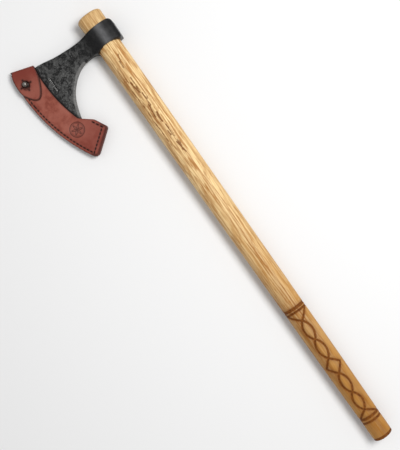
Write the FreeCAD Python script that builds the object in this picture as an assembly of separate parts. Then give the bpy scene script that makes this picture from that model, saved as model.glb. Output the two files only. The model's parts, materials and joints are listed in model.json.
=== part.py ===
"""Bearded axe with a slip-fit haft and a leather edge sheath, in millimetres.

Everything is drawn in the axe's own frame: x runs along the haft from the butt to the top end,
y runs from the poll to the cutting edge, and z comes out of the cheek that carries the stud.
A place on the head is given as (down, out): down from the eye's top rim towards the butt, and
out from the haft's centre line towards the cutting edge. At the end, lay_down() turns the whole
axe the few degrees that it rolls when it lies on a flat floor.
"""
import FreeCAD
import Part
import math
import os

V = FreeCAD.Vector

# Haft: an oval that is round at the butt and thickest above the eye
HAFT_LENGTH = 915.0
BUTT_RADIUS = 18.5
BUTT_STRAIGHT = 36.0            # length of the round, untapered butt
BUTT_ROUNDING = 2.5
TOP_ROUNDING = 5.5
EYE_TOP_X = 888.0               # top rim of the eye, from the butt
EYE_DEPTH = 42.8
GRIP_X = 165.0
GRIP_HALF = (19.8, 18.6)        # half widths along y and z
EYE_LOW_HALF = (22.3, 19.0)
EYE_TOP_HALF = (23.5, 19.6)
HAFT_TOP_HALF = (24.2, 20.0)
EYE_CLEARANCE = 0.05

# Head
POLL_OUT = -30.3
POLL_ROUNDING = 7.0             # the poll's upper corner, seen from the side
COLLAR_HALF = 23.0              # half thickness over the cheeks
LOWER_RIM_RADIUS = 50.0         # the cheeks' lower rims are arched
RIM_REACH = 34.0                # how far out the arch runs, to the neck
EDGE_CENTRE = (23.7, -137.9)    # the cutting edge, the stitches and the sheath share this centre
EDGE_RADIUS = 306.1
EDGE_HALF = 0.3
BEVEL_WIDTH = 15.0
BEVEL_HALF = 2.1
STEEL_HEEL = 9.5                # length of the blunt heel below the cutting edge
BEARD_BEVEL = (4.2, 1.1)        # width on the face, depth on the edge

# Sheath
LEATHER = 2.8
WELT = 5.0                      # thickness of the spacer, and so of the pocket
WELT_WIDTH = 9.5
HEEL_WELT_WIDTH = 11.6
EAR_WELT_WIDTH = 7.8            # narrower, to stay clear of the beard
SHEATH_RADIUS = 316.6
MOUTH_RADIUS = 272.8
TOE_LINE = ((-13.4, 131.4), (-27.4, 173.8))   # outside of the fold at the toe
MOUTH_CORNER = (112.0, 118.6)
POCKET_EAR = (129.0, 97.6)
POCKET_TIP = (153.9, 84.7)
HEEL_CORNER = (186.6, 127.7)
MOUTH_ROUNDING = 12.0
EAR_ROUNDING = 4.5
TIP_ROUNDING = 5.0
HEEL_ROUNDING = 9.0
FLAP_GAP = 0.3                  # between the front panel and the flap over it
FRONT_SETBACK = 5.6             # front panel's end, inside the fold's outside
STEEL_SETBACK = 4.8
HEEL_STEEL_GAP = 13.2           # steel's heel, inside the sheath's heel side
TONGUE_SETBACK = 4.2            # tongue's lower corner at the toe, inside the sheath's edge

# Stitching
STITCH_INSET = 5.4
HEEL_INSET = 9.8
THREAD_RADIUS = 0.5
HOLE_RADIUS = 0.65
GROOVE_DEPTH = 1.0
THREAD_LIFT = 0.05              # thread's gap to the groove's floor
STITCH_GAP = 0.15
EDGE_STITCHES = 28
HEEL_STITCHES = 7
EAR_STITCHES = 3

# Stud
STUD_AT = (7.2, 162.0)
BALL_RADIUS = 4.7
NECK_RADIUS = 2.6
FLANGE_RADIUS = 5.0
FLANGE_HEIGHT = 0.8
SOCKET_DEPTH = 3.5              # screw's hole in the stud, from the flange's face
SOCKET_PLAY = 0.05
FLAP_HOLE_RADIUS = 6.3
FLAP_HOLE_STRETCH = 2.6         # the hole is longer away from the toe, so that the flap lifts off
SLIT_LENGTH = 4.5
SLIT_WIDTH = 0.8
SLIT_ANGLES = (0, 90, 180, 270)
SCREW_RADIUS = 1.7
SCREW_HEAD_RADIUS = 4.5
SCREW_SEAT = 1.2                # depth of the head's seat in the leather
SCREW_SINK = 0.1                # head's face below the leather's
SCREW_END_GAP = 0.2
SCREW_PLAY = 0.3                # leather's gap round the screw
SCREW_SLOT = (1.0, 0.6)         # width, depth

POCKET_HALF = WELT / 2
PANEL_TOP = POCKET_HALF + LEATHER
BACK_MIDDLE = -(POCKET_HALF + LEATHER / 2)
FLAP_MIDDLE = PANEL_TOP + FLAP_GAP + LEATHER / 2
KNUCKLE_GAP = 0.3
LEAF_SETBACK = LEATHER + KNUCKLE_GAP    # leather's end beside a fold, from the fold's outside
THREAD_HEIGHT = PANEL_TOP - GROOVE_DEPTH + THREAD_RADIUS + THREAD_LIFT
CLEAR = 5.0                     # how far a cutting shape reaches past what it cuts


def at(place, z=0.0):
    """The point (down, out) of the head at height z."""
    return V(EYE_TOP_X - place[0], place[1], z)


def beside(start, end, inward):
    """The line from start to end, moved sideways by inward to the right of its direction."""
    run = V(end[0] - start[0], end[1] - start[1], 0).normalize()
    shift = (run.y * inward, -run.x * inward)
    return tuple((p[0] + shift[0], p[1] + shift[1]) for p in (start, end))


def crossing(line_a, line_b):
    """The place where two straight lines cross."""
    (ax, ay), (bx, by) = line_a
    (cx, cy), (dx, dy) = line_b
    spread = (bx - ax) * (dy - cy) - (by - ay) * (dx - cx)
    share = ((cx - ax) * (dy - cy) - (cy - ay) * (dx - cx)) / spread
    return (ax + share * (bx - ax), ay + share * (by - ay))


def on_circle(radius, line):
    """The place where a line meets a circle about the edge centre, on the side of its second end."""
    (ax, ay), (bx, by) = line
    length = math.hypot(bx - ax, by - ay)
    run = ((bx - ax) / length, (by - ay) / length)
    gap = (ax - EDGE_CENTRE[0], ay - EDGE_CENTRE[1])
    middle = -(gap[0] * run[0] + gap[1] * run[1])
    reach = middle + math.sqrt(middle ** 2 + radius ** 2 - gap[0] ** 2 - gap[1] ** 2)
    return (ax + reach * run[0], ay + reach * run[1])


def bearing(place):
    """A place's angle about the edge centre, from straight out, positive towards the heel."""
    return math.atan2(place[0] - EDGE_CENTRE[0], place[1] - EDGE_CENTRE[1])


def polar(radius, angle):
    return (EDGE_CENTRE[0] + radius * math.sin(angle), EDGE_CENTRE[1] + radius * math.cos(angle))


def edge_arc(radius, start, end):
    """An arc about the edge centre between two places on it."""
    middle = polar(radius, (bearing(start) + bearing(end)) / 2)
    return Part.Arc(at(start), at(middle), at(end)).toShape()


def straight(start, end):
    return Part.LineSegment(at(start), at(end)).toShape()


def smooth(places):
    curve = Part.BSplineCurve()
    curve.interpolate([at(place) for place in places])
    return curve.toShape()


def slab(edges, bottom, top):
    """The solid between two heights inside a closed outline."""
    face = Part.Face(Part.Wire(Part.__sortEdges__(edges)))
    face.translate(V(0, 0, bottom))
    return face.extrude(V(0, 0, top - bottom))


def round_corner(solid, place, radius):
    """Round the upright edge nearest to a place."""
    def distance(edge):
        return max((vertex.Point - at(place, vertex.Point.z)).Length for vertex in edge.Vertexes)
    upright = min((edge for edge in solid.Edges if len(edge.Vertexes) == 2), key=distance)
    return solid.makeFillet(radius, [upright])


def rod(radius, place, bottom, top):
    return Part.makeCylinder(radius, top - bottom, at(place, bottom))


# ---------------------------------------------------------------- haft

def oval(x, half):
    """An ellipse across the haft at x, from its half widths along y and z."""
    ellipse = Part.Ellipse(V(x, half[0], 0), V(x, 0, half[1]), V(x, 0, 0))
    return Part.Wire([ellipse.toShape()])


def taper(low, high):
    """The solid between two ovals, each given as (x, half widths)."""
    return Part.makeLoft([oval(*low), oval(*high)], True, True)


def haft():
    """One straight stick that thickens all the way up, so that the head jams near the top."""
    sections = [
        (BUTT_STRAIGHT, (BUTT_RADIUS, BUTT_RADIUS)),
        (GRIP_X, GRIP_HALF),
        (EYE_TOP_X - EYE_DEPTH, EYE_LOW_HALF),
        (EYE_TOP_X, EYE_TOP_HALF),
        (HAFT_LENGTH, HAFT_TOP_HALF),
    ]
    butt = Part.makeCylinder(BUTT_RADIUS, BUTT_STRAIGHT, V(0, 0, 0), V(1, 0, 0))
    stick = butt.fuse([taper(low, high) for low, high in zip(sections, sections[1:])])
    for x, rounding in ((0.0, BUTT_ROUNDING), (HAFT_LENGTH, TOP_ROUNDING)):
        rim = min(stick.Edges, key=lambda edge: abs(edge.CenterOfMass.x - x))
        stick = stick.makeFillet(rounding, [rim])
    return stick


# ---------------------------------------------------------------- head

def steel_toe_line():
    return beside(*TOE_LINE, STEEL_SETBACK)


def heel_side():
    return (POCKET_TIP, HEEL_CORNER)


def steel_heel():
    """The heel's two corners: where the beard ends, and the tip on the cutting edge."""
    line = beside(*reversed(heel_side()), HEEL_STEEL_GAP)[::-1]
    tip = on_circle(EDGE_RADIUS, line)
    run = V(line[1][0] - line[0][0], line[1][1] - line[0][1], 0).normalize()
    return (tip[0] - STEEL_HEEL * run.x, tip[1] - STEEL_HEEL * run.y), tip


def head_outline(poll_top):
    poll_low = (39.0, -29.2)
    lug_low = (EYE_DEPTH, -24.0)
    beard_root = (EYE_DEPTH, 22.0)
    beard_end, heel_tip = steel_heel()
    toe_line = steel_toe_line()
    toe_tip = on_circle(EDGE_RADIUS, toe_line)
    toe_top = toe_line[0]
    beard = [beard_root, (38.6, 29.5), (38.3, 42.0), (39.9, 55.0), (45.6, 69.5), (56.2, 84.0),
             (74.0, 100.0), (105.5, 113.2), (135.0, 120.5), beard_end]
    top_edge = [toe_top, (-7.6, 118.0), (-2.9, 95.0), (0.0, 70.0), (1.5, 48.0), (0.9, 20.0),
                (0.0, 0.0), poll_top]
    return [
        straight(poll_top, poll_low),
        straight(poll_low, lug_low),
        straight(lug_low, beard_root),
        smooth(beard),
        straight(beard_end, heel_tip),
        edge_arc(EDGE_RADIUS, heel_tip, toe_tip),
        straight(toe_tip, toe_top),
        smooth(top_edge),
    ]


def head_section():
    """The head seen along the haft: flat poll, full cheeks, hollow neck and thin blade."""
    half = [(-30.5, 11.5), (-27.5, 17.0), (-18.0, 21.4), (0.0, COLLAR_HALF), (13.0, 21.4),
            (23.0, 16.2), (32.0, 10.4), (42.0, 7.2), (55.0, 5.2), (75.0, 3.8), (98.0, 2.7),
            (114.0, 2.2), (135.0, BEVEL_HALF), (180.0, 1.9)]
    sides = []
    for side in (1, -1):
        curve = Part.BSplineCurve()
        curve.interpolate([V(0, y, side * z) for y, z in half])
        sides.append(curve.toShape())
    poll, blade = half[0], half[-1]
    ends = [Part.makeLine(V(0, y, z), V(0, y, -z)) for y, z in (poll, blade)]
    face = Part.Face(Part.Wire(Part.__sortEdges__(sides + ends)))
    below, above = 200.0, 50.0
    face.translate(V(EYE_TOP_X - below, 0, 0))
    return face.extrude(V(below + above, 0, 0))


def edge_bevel():
    """A disc about the edge centre that thins to the cutting edge."""
    shoulder = EDGE_RADIUS - BEVEL_WIDTH
    tall = COLLAR_HALF + CLEAR
    slope = 60.0
    corners = [(0, tall), (shoulder - slope, tall), (shoulder, BEVEL_HALF), (EDGE_RADIUS, EDGE_HALF)]
    ring = [V(r, 0, z) for r, z in corners] + [V(r, 0, -z) for r, z in reversed(corners)]
    disc = Part.Face(Part.makePolygon(ring + ring[:1])).revolve(V(0, 0, 0), V(0, 0, 1), 360)
    disc.translate(at(EDGE_CENTRE))
    return disc


def rim_arch():
    """What the arched lower rims of the cheeks leave out."""
    around = 40.0
    drop = 20.0
    low = at((EYE_DEPTH + drop, -around), -around)
    block = Part.makeBox(2 * drop, RIM_REACH + around, 2 * around, low)
    middle = at((EYE_DEPTH - LOWER_RIM_RADIUS, -2 * around))
    arch = Part.makeCylinder(LOWER_RIM_RADIUS, RIM_REACH + 3 * around, middle, V(0, 1, 0))
    return block.cut(arch)


def bevel_beard(head):
    """Thin the beard's inner edge on both faces."""
    def along_beard(edge):
        middle = edge.valueAt((edge.FirstParameter + edge.LastParameter) / 2)
        clear_of_ends = EYE_DEPTH < EYE_TOP_X - middle.x < MOUTH_CORNER[0]
        return edge.Length > EYE_DEPTH and clear_of_ends and GRIP_HALF[0] < middle.y < MOUTH_CORNER[1]
    return head.makeChamfer(*BEARD_BEVEL, [edge for edge in head.Edges if along_beard(edge)])


def axe_head():
    """One forging: eye collar, neck and long bearded blade."""
    side = COLLAR_HALF + CLEAR
    poll_top = (1.4, POLL_OUT)
    body = round_corner(slab(head_outline(poll_top), -side, side), poll_top, POLL_ROUNDING)
    head = body.common(head_section()).common(edge_bevel())
    head = bevel_beard(head.cut(rim_arch()))
    ends = []
    for x in (-EYE_DEPTH - CLEAR, CLEAR):
        share = 1 + x / EYE_DEPTH
        half = [low + share * (top - low) + EYE_CLEARANCE for low, top in zip(EYE_LOW_HALF, EYE_TOP_HALF)]
        ends.append((EYE_TOP_X + x, half))
    return head.cut(taper(*ends))


# ---------------------------------------------------------------- sheath

def panel_edges(setback):
    """A panel's outline, with its toe end set back from the outside of the fold."""
    toe = beside(*TOE_LINE, setback)
    toe_mouth = on_circle(MOUTH_RADIUS, toe)
    toe_edge = on_circle(SHEATH_RADIUS, toe)
    heel_edge = on_circle(SHEATH_RADIUS, heel_side())
    mouth_end = on_circle(MOUTH_RADIUS, (POCKET_EAR, MOUTH_CORNER))
    return [
        edge_arc(MOUTH_RADIUS, toe_mouth, mouth_end),
        straight(mouth_end, POCKET_EAR),
        straight(POCKET_EAR, POCKET_TIP),
        straight(POCKET_TIP, heel_edge),
        edge_arc(SHEATH_RADIUS, heel_edge, toe_edge),
        straight(toe_edge, toe_mouth),
    ]


def panel(setback, bottom, top):
    """A flat sheet of leather with the sheath's outline and rounded corners."""
    sheet = slab(panel_edges(setback), bottom, top)
    heel_edge = on_circle(SHEATH_RADIUS, heel_side())
    mouth_end = on_circle(MOUTH_RADIUS, (POCKET_EAR, MOUTH_CORNER))
    corners = [(POCKET_EAR, EAR_ROUNDING), (POCKET_TIP, TIP_ROUNDING), (heel_edge, HEEL_ROUNDING),
               (mouth_end, MOUTH_ROUNDING)]
    for place, radius in corners:
        sheet = round_corner(sheet, place, radius)
    return sheet


def stitch_holes():
    """Every hole, in order from the toe along the cutting edge, round the heel and up to the ear."""
    radius = SHEATH_RADIUS - STITCH_INSET
    heel = beside(*reversed(heel_side()), HEEL_INSET)[::-1]
    ear = beside(POCKET_TIP, POCKET_EAR, STITCH_INSET)
    corner = on_circle(radius, heel)
    inner = crossing(heel, ear)
    outer = crossing(ear, beside(POCKET_EAR, MOUTH_CORNER, STITCH_INSET / 2))
    toe = on_circle(radius, beside(*TOE_LINE, FRONT_SETBACK + STITCH_INSET))
    sweep = bearing(corner) - bearing(toe)
    holes = [polar(radius, bearing(toe) + sweep * step / EDGE_STITCHES) for step in range(EDGE_STITCHES)]
    for start, end, count in ((corner, inner, HEEL_STITCHES), (inner, outer, EAR_STITCHES)):
        holes += [tuple(a + (b - a) * step / count for a, b in zip(start, end)) for step in range(count)]
    return holes + [outer]


def bar(start, end, width, bottom, top):
    """A straight bar between two places."""
    run = at(end) - at(start)
    beam = Part.makeBox(run.Length, width, top - bottom, V(0, -width / 2, bottom))
    beam.rotate(V(0, 0, 0), V(0, 0, 1), math.degrees(math.atan2(run.y, run.x)))
    beam.translate(at(start))
    return beam


def stitch_channel(side):
    """The holes and the groove that the stitches lie in, on the front (1) or the back (-1)."""
    holes = stitch_holes()
    reach = PANEL_TOP + CLEAR
    floor = side * (PANEL_TOP - GROOVE_DEPTH)
    low, high = sorted((floor, side * reach))
    tools = [rod(HOLE_RADIUS, hole, -reach, reach) for hole in holes]
    tools += [bar(a, b, 2 * HOLE_RADIUS, low, high) for a, b in zip(holes, holes[1:])]
    return tools


def sheath_front():
    """Leather over the front face, with the screw's hole and seat."""
    sheet = panel(FRONT_SETBACK, POCKET_HALF, PANEL_TOP)
    hole = rod(SCREW_RADIUS + SCREW_PLAY, STUD_AT, 0, PANEL_TOP + CLEAR)
    seat = rod(SCREW_HEAD_RADIUS + SCREW_PLAY, STUD_AT, 0, POCKET_HALF + SCREW_SEAT)
    return sheet.cut([hole, seat] + stitch_channel(1))


def sheath_back():
    """Leather over the back face, up to the bend at the toe."""
    return panel(LEAF_SETBACK, -PANEL_TOP, -POCKET_HALF).cut(stitch_channel(-1))


def pocket():
    """The space that the welt leaves for the blade, drawn past the mouth and the toe."""
    past_toe = 20.0
    past_mouth = 60.0
    inner_radius = SHEATH_RADIUS - WELT_WIDTH
    heel = beside(*reversed(heel_side()), HEEL_WELT_WIDTH)[::-1]
    ear = beside(POCKET_TIP, POCKET_EAR, EAR_WELT_WIDTH)
    corner = crossing(heel, ear)
    heel_end = on_circle(inner_radius, heel)
    toe_end = on_circle(inner_radius, beside(*TOE_LINE, -past_toe))
    ear_end = crossing(ear, beside(POCKET_EAR, MOUTH_CORNER, -CLEAR))
    mouth_side = (ear_end[0], past_mouth)
    toe_side = (toe_end[0], past_mouth)
    edges = [
        straight(corner, heel_end),
        edge_arc(inner_radius, heel_end, toe_end),
        straight(toe_end, toe_side),
        straight(toe_side, mouth_side),
        straight(mouth_side, ear_end),
        straight(ear_end, corner),
    ]
    return slab(edges, -PANEL_TOP, PANEL_TOP)


def sheath_welt():
    """The spacer along the cutting edge and round the heel."""
    strip = panel(FRONT_SETBACK, -POCKET_HALF, POCKET_HALF)
    reach = PANEL_TOP
    holes = [rod(HOLE_RADIUS, hole, -reach, reach) for hole in stitch_holes()]
    return strip.cut([pocket()] + holes)


def stitch(start, end):
    """One stitch: a run on the front, a run on the back, and the thread through the first hole."""
    run = at(end) - at(start)
    length = run.Length - 2 * THREAD_RADIUS - STITCH_GAP
    starts = [at(start, side * THREAD_HEIGHT) for side in (1, -1)]
    runs = [Part.makeCylinder(THREAD_RADIUS, length, place, run) for place in starts]
    ends = [Part.makeSphere(THREAD_RADIUS, place) for place in starts]
    leg = rod(THREAD_RADIUS, start, -THREAD_HEIGHT, THREAD_HEIGHT)
    return leg.fuse(runs + ends)


def sheath_thread():
    holes = stitch_holes()
    return Part.makeCompound([stitch(a, b) for a, b in zip(holes, holes[1:])])


def fold_axis(z):
    """The two ends of a bend's axis at height z, from the mouth to the cutting edge."""
    line = beside(*TOE_LINE, LEATHER / 2)
    return at(line[0], z), at(line[1], z)


def flap_fold():
    """The leather that goes round the toe, between the bends at the back panel and at the flap."""
    low, low_end = fold_axis(BACK_MIDDLE)
    run = low_end - low
    height = FLAP_MIDDLE - BACK_MIDDLE
    across = run.cross(V(0, 0, 1)).normalize() * (LEATHER / 2)
    rise = V(0, 0, height)
    corners = [low + across, low - across, low - across + rise, low + across + rise]
    wall = Part.Face(Part.makePolygon(corners + corners[:1])).extrude(run)
    knuckles = [Part.makeCylinder(LEATHER / 2, run.Length, place, run) for place in (low, low + rise)]
    return wall.fuse(knuckles)


def slit(middle, angle):
    """A slit that lets the hole stretch over the ball."""
    end = (middle[0] + (FLAP_HOLE_RADIUS + SLIT_LENGTH) * math.cos(angle),
           middle[1] + (FLAP_HOLE_RADIUS + SLIT_LENGTH) * math.sin(angle))
    return bar(middle, end, SLIT_WIDTH, 0, FLAP_MIDDLE + LEATHER)


def flap_tongue():
    """The strap end that buttons on the stud."""
    toe = beside(*TOE_LINE, LEAF_SETBACK)
    toe_side = beside(*TOE_LINE, 0)
    far_side = beside(*TOE_LINE, FLAP_HOLE_STRETCH)
    far_hole = tuple(c + far - near for c, near, far in zip(STUD_AT, toe_side[0], far_side[0]))
    bottom = FLAP_MIDDLE - LEATHER / 2
    lower_toe = on_circle(SHEATH_RADIUS - TONGUE_SETBACK, toe)
    tip = [toe[0], (6.8, 134.6), (21.8, 140.8), (35.8, 149.2), (41.9, 157.8), (38.3, 165.6),
           (30.3, 171.6), (21.3, 177.2), (8.0, 179.4), (-7.0, 178.2), (-18.0, 175.2), lower_toe]
    tongue = slab([smooth(tip), straight(lower_toe, toe[0])], bottom, bottom + LEATHER)
    holes = [rod(FLAP_HOLE_RADIUS, place, 0, FLAP_MIDDLE + LEATHER) for place in (STUD_AT, far_hole)]
    middle = tuple((near + far) / 2 for near, far in zip(STUD_AT, far_hole))
    slits = [slit(middle, math.radians(angle)) for angle in SLIT_ANGLES]
    between = bar(STUD_AT, far_hole, 2 * FLAP_HOLE_RADIUS, 0, FLAP_MIDDLE + LEATHER)
    return tongue.cut(holes + [between] + slits)


def stud():
    """Ball stud: a flange on the front panel, a neck through the flap and a ball above it."""
    ball_z = PANEL_TOP + FLANGE_HEIGHT + LEATHER + BALL_RADIUS
    flange = rod(FLANGE_RADIUS, STUD_AT, PANEL_TOP, PANEL_TOP + FLANGE_HEIGHT)
    neck = rod(NECK_RADIUS, STUD_AT, PANEL_TOP, ball_z)
    ball = Part.makeSphere(BALL_RADIUS, at(STUD_AT, ball_z))
    socket = rod(SCREW_RADIUS + SOCKET_PLAY, STUD_AT, 0, PANEL_TOP + SOCKET_DEPTH)
    return flange.fuse([neck, ball]).cut(socket)


def stud_screw():
    """Flat slotted screw that goes in from inside the pocket."""
    bottom = POCKET_HALF + SCREW_SINK
    head = rod(SCREW_HEAD_RADIUS, STUD_AT, bottom, POCKET_HALF + SCREW_SEAT)
    shank = rod(SCREW_RADIUS, STUD_AT, bottom, PANEL_TOP + SOCKET_DEPTH - SCREW_END_GAP)
    width, depth = SCREW_SLOT
    half_length = SCREW_HEAD_RADIUS + CLEAR
    low = at(STUD_AT, bottom) - V(half_length, width / 2, 0)
    return head.fuse(shank).cut(Part.makeBox(2 * half_length, width, depth, low))


# ---------------------------------------------------------------- the whole axe

PIECES = {
    "haft": haft,
    "axe_head": axe_head,
    "sheath_front": sheath_front,
    "sheath_back": sheath_back,
    "sheath_welt": sheath_welt,
    "sheath_thread": sheath_thread,
    "flap_fold": flap_fold,
    "flap_tongue": flap_tongue,
    "stud": stud,
    "stud_screw": stud_screw,
}


def box_of(shape, placement):
    return shape.transformed(placement.toMatrix()).optimalBoundingBox(False, False)


def lay_down(shapes):
    """The placement that rests the axe on a flat floor at z = 0, under the middle of its box.

    It lies on a cheek, the sheath's edge and the butt, so it rolls and pitches until the three
    are level.
    """
    edge_out = SHEATH_RADIUS + EDGE_CENTRE[1]
    cheek_x = EYE_TOP_X - EYE_DEPTH / 2
    roll = 0.0
    pitch = 0.0
    for _ in range(6):
        placement = FreeCAD.Placement(V(0, 0, 0), FreeCAD.Rotation(0, pitch, -roll))
        cheek, edge, butt = [box_of(shapes[name], placement).ZMin
                             for name in ("axe_head", "sheath_back", "haft")]
        roll += math.degrees((edge - cheek) / edge_out)
        pitch += math.degrees((cheek - butt) / cheek_x)
    boxes = [box_of(shape, placement) for shape in shapes.values()]
    middle_x = (min(box.XMin for box in boxes) + max(box.XMax for box in boxes)) / 2
    middle_y = (min(box.YMin for box in boxes) + max(box.YMax for box in boxes)) / 2
    floor = min(box.ZMin for box in boxes)
    return FreeCAD.Placement(V(-middle_x, -middle_y, -floor), placement.Rotation)


def build():
    return {name: make() for name, make in PIECES.items()}


shapes = build()
resting = lay_down(shapes)
os.makedirs("parts", exist_ok=True)
for name, shape in shapes.items():
    placed = shape.transformed(resting.toMatrix())
    placed.exportStep(f"parts/{name}.step")
    state = "valid" if placed.isValid() else "INVALID"
    print(name, state, len(placed.Solids), "solids", round(placed.Volume), "mm3")
print("resting", resting)
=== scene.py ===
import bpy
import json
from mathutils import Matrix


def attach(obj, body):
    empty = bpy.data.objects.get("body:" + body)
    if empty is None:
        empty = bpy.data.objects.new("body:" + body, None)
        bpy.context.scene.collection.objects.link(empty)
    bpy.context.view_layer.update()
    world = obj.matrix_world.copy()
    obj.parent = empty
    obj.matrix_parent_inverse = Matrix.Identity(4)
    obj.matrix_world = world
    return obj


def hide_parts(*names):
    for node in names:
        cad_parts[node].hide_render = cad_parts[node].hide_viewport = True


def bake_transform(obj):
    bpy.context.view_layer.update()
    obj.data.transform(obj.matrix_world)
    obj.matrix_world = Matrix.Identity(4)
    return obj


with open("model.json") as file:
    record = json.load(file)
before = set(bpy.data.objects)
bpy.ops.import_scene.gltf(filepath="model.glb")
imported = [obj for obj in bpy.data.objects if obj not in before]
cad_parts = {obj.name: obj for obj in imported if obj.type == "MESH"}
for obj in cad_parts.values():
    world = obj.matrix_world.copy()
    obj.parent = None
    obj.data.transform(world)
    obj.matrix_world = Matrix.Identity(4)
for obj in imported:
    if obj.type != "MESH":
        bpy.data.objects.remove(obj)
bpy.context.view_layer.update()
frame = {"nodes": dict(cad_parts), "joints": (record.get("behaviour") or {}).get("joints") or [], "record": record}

import json
import math

import bmesh
import bpy
import numpy as np
from mathutils import Matrix, Vector, bvhtree, geometry, noise

# ---- the axe's own frame
# x runs from the butt to the top of the haft, y towards the cutting edge, z out of the stud's
# face, in millimetres. The record's butt mount gives its origin and x, the sheath's slide its y.

record = frame["record"]
butt_mount = next(m for m in record["mounts"] if m["name"] == "butt_face")
sheath_joint = next(j for j in frame["joints"] if j["name"] == "sheath_slide")


def unit(vector):
    vector = np.asarray(vector, float)
    return vector / np.linalg.norm(vector)


ORIGIN = np.array(butt_mount["pos_m"], float)
AXIS_X = unit(-np.array(butt_mount["axis"], float))
SLIDE = np.array(sheath_joint["axis"], float)
AXIS_Y = unit(SLIDE - (SLIDE @ AXIS_X) * AXIS_X)
AXES = np.array([AXIS_X, AXIS_Y, np.cross(AXIS_X, AXIS_Y)])
MM = 0.001


def to_row(points):
    return ORIGIN + np.asarray(points, float) @ AXES * MM


def to_axe(points):
    return (np.asarray(points, float) - ORIGIN) @ AXES.T / MM


def smoothstep(low, high, value):
    share = np.clip((value - low) / (high - low), 0, 1)
    return share * share * (3 - 2 * share)


def ripple(points, size, seed=0.0):
    """Smooth noise from -1 to 1, at a grain size in millimetres, which may differ by axis."""
    scaled = np.asarray(points, float) / np.asarray(size, float) + seed
    return np.array([noise.noise(Vector(p)) for p in scaled])


# ---- reading the CAD nodes

def node_mesh(node):
    mesh = frame["nodes"][node].data
    mesh.calc_loop_triangles()
    raw = np.array([v.co for v in mesh.vertices], float)
    return raw, np.array([t.vertices for t in mesh.loop_triangles])


def signed_area(loop):
    x, y = loop[:, 0], loop[:, 1]
    return 0.5 * float(np.sum(x * np.roll(y, -1) - y * np.roll(x, -1)))


def outlines(node, height):
    """The closed outlines in which a node's surface meets the plane z = height, largest first."""
    raw, faces = node_mesh(node)
    points = to_axe(raw)
    above = points[:, 2] > height
    places, links = {}, {}
    for face in faces[above[faces].any(1) & ~above[faces].all(1)]:
        ends = []
        for a, b in ((face[0], face[1]), (face[1], face[2]), (face[2], face[0])):
            if above[a] == above[b]:
                continue
            key = tuple(sorted((tuple(raw[a]), tuple(raw[b]))))
            share = (height - points[a, 2]) / (points[b, 2] - points[a, 2])
            places[key] = points[a, :2] + share * (points[b, :2] - points[a, :2])
            ends.append(key)
        links.setdefault(ends[0], []).append(ends[1])
        links.setdefault(ends[1], []).append(ends[0])
    found = []
    while links:
        key = next(iter(links))
        loop = []
        while key in links:
            loop.append(places[key])
            onward = [k for k in links.pop(key) if k in links]
            if not onward:
                break
            key = onward[0]
        if len(loop) > 2:
            found.append(np.array(loop))
    found = [loop if signed_area(loop) > 0 else loop[::-1] for loop in found]
    return sorted(found, key=lambda loop: -signed_area(loop))


def even_loop(loop, spacing, soften=1):
    """The outline again, with points no further apart than spacing and corners a little eased."""
    kept = [loop[0]]
    for point in loop[1:]:
        if np.linalg.norm(point - kept[-1]) > 0.35 * spacing:
            kept.append(point)
    if np.linalg.norm(kept[-1] - kept[0]) < 0.35 * spacing:
        kept.pop()
    dense = []
    for a, b in zip(kept, kept[1:] + kept[:1]):
        count = max(1, math.ceil(np.linalg.norm(b - a) / spacing))
        dense += [a + (b - a) * step / count for step in range(count)]
    loop = np.array(dense)
    for _ in range(soften):
        loop = 0.25 * np.roll(loop, 1, 0) + 0.5 * loop + 0.25 * np.roll(loop, -1, 0)
    return loop


def to_segments(points, loop, closed=True):
    """The distance of each point from a polyline."""
    starts = loop if closed else loop[:-1]
    ends = np.roll(loop, -1, 0) if closed else loop[1:]
    best = np.full(len(points), 1e9)
    for a, b in zip(starts, ends):
        run = b - a
        share = np.clip(((points - a) @ run) / max(float(run @ run), 1e-12), 0, 1)
        gap = points - a - share[:, None] * run
        best = np.minimum(best, np.einsum("ij,ij->i", gap, gap))
    return np.sqrt(best)


def inside(points, loop):
    result = np.zeros(len(points), bool)
    x, y = points[:, 0], points[:, 1]
    for a, b in zip(loop, np.roll(loop, -1, 0)):
        if a[1] == b[1]:
            continue
        crosses = (a[1] > y) != (b[1] > y)
        result ^= crosses & (x < (b[0] - a[0]) * (y - a[1]) / (b[1] - a[1]) + a[0])
    return result


def within(points, rims):
    """Which points lie inside the first outline and outside the others, its holes."""
    result = inside(points, rims[0])
    for rim in rims[1:]:
        result &= ~inside(points, rim)
    return result


def from_point(flat, centre):
    return np.hypot(*(flat - centre).T)


def tube(rings):
    """The quads between each closed ring of point numbers and the next ring."""
    faces = []
    for below, above in zip(rings, rings[1:]):
        faces += zip(below, np.roll(below, -1), np.roll(above, -1), above)
    return faces


# ---- pieces

def new_mesh(name, points, faces):
    mesh = bpy.data.meshes.new(name)
    mesh.from_pydata(points.tolist(), [], [tuple(int(i) for i in face) for face in faces])
    return mesh


def even_normals(mesh, merge=None):
    """Turn the faces outwards, and join points closer than merge."""
    shell = bmesh.new()
    shell.from_mesh(mesh)
    if merge is not None:
        bmesh.ops.remove_doubles(shell, verts=shell.verts, dist=merge)
    bmesh.ops.recalc_face_normals(shell, faces=shell.faces)
    shell.to_mesh(mesh)
    shell.free()


def make_piece(name, points, faces, material, fields=None, sharp=42):
    """A mesh object from points in axe millimetres, with its resting place kept for materials."""
    mesh = new_mesh(name, to_row(points), faces)
    mesh.validate()
    even_normals(mesh)
    store(mesh, "rest_mm", points)
    for field, values in (fields or {}).items():
        store(mesh, field, values)
    mesh.shade_smooth()
    mesh.set_sharp_from_angle(angle=math.radians(sharp))
    mesh.materials.append(material)
    piece = add_object(name, mesh)
    return piece


def add_object(name, data):
    made = bpy.data.objects.new(name, data)
    bpy.context.scene.collection.objects.link(made)
    return made


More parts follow.
